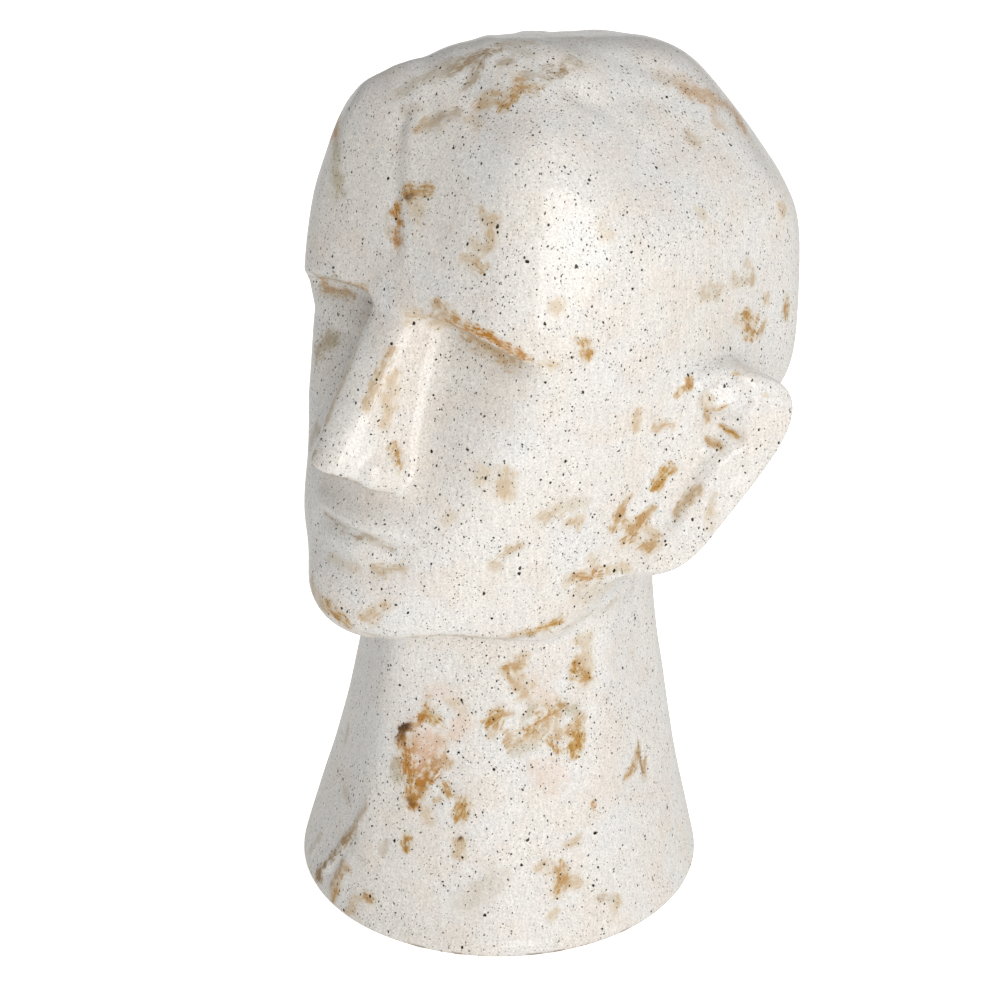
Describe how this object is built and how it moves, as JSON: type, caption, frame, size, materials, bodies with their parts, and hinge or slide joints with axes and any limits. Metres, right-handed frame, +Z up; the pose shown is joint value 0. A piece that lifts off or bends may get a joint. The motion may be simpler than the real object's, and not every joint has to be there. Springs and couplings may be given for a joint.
{
  "type": "head sculpture",
  "caption": "Bald, faceted ceramic head on a flared neck that serves as its foot, in speckled off-white glaze with rubbed ochre patches; stands on its flat underside.",
  "frame": {"origin": "centre of the flat underside of the foot", "axes": "+Z up, the face looks along -Y, the sculpture's left ear is on +X"},
  "size_m": [0.2315, 0.2497, 0.3804],
  "materials": {
    "glaze": "glossy off-white glaze with fine dark speckle and rubbed ochre and rust patches"
  },
  "bodies": {
    "root": {"head_sculpture": "glaze"}
  },
  "joints": []
}
